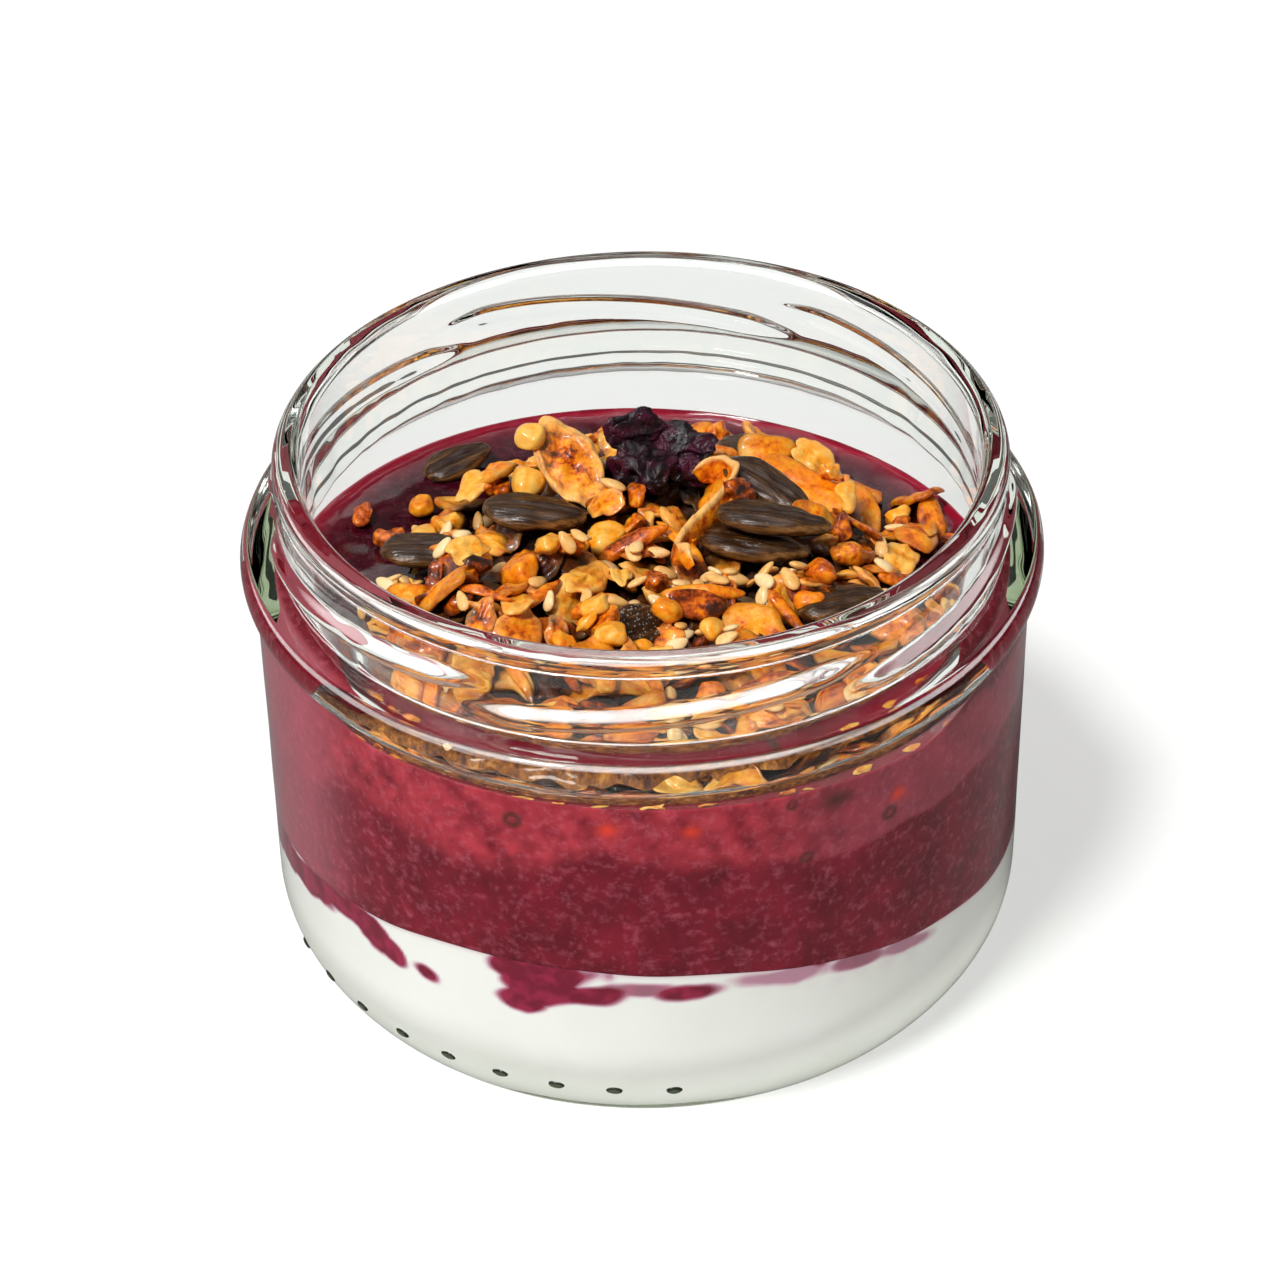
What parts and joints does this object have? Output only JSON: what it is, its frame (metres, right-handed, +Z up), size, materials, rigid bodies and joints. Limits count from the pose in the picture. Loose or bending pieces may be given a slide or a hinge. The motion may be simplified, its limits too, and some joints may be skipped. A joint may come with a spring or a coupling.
{
  "type": "berry smoothie with granola",
  "caption": "Low twist-off glass jar with a layer of yogurt, a berry smoothie on it and a heap of granola with pumpkin seeds on top.",
  "frame": {"origin": "centre of the jar's foot, on the surface it stands on", "axes": "+Z up out of the jar's mouth, -Y towards the side that is looked at"},
  "size_m": [0.086, 0.086, 0.0648],
  "materials": {
    "jar_glass": "clear pressed soda-lime glass with a faint green tint",
    "yogurt": null,
    "berry_smoothie": null,
    "granola": null,
    "dried_fruit": null,
    "toasted_slices": null,
    "pumpkin_seeds": null
  },
  "bodies": {
    "root": {"jar": "jar_glass", "yogurt": "yogurt", "smoothie": "berry_smoothie", "granola_heap": "granola", "dried_berry": "dried_fruit", "toasted_flake": "toasted_slices", "almond_slice": "toasted_slices", "pumpkin_seed_1": "pumpkin_seeds", "pumpkin_seed_2": "pumpkin_seeds", "pumpkin_seed_3": "pumpkin_seeds", "pumpkin_seed_4": "pumpkin_seeds", "pumpkin_seed_5": "pumpkin_seeds", "pumpkin_seed_6": "pumpkin_seeds", "pumpkin_seed_7": "pumpkin_seeds", "pumpkin_seed_8": "pumpkin_seeds", "pumpkin_seed_9": "pumpkin_seeds"}
  },
  "joints": []
}
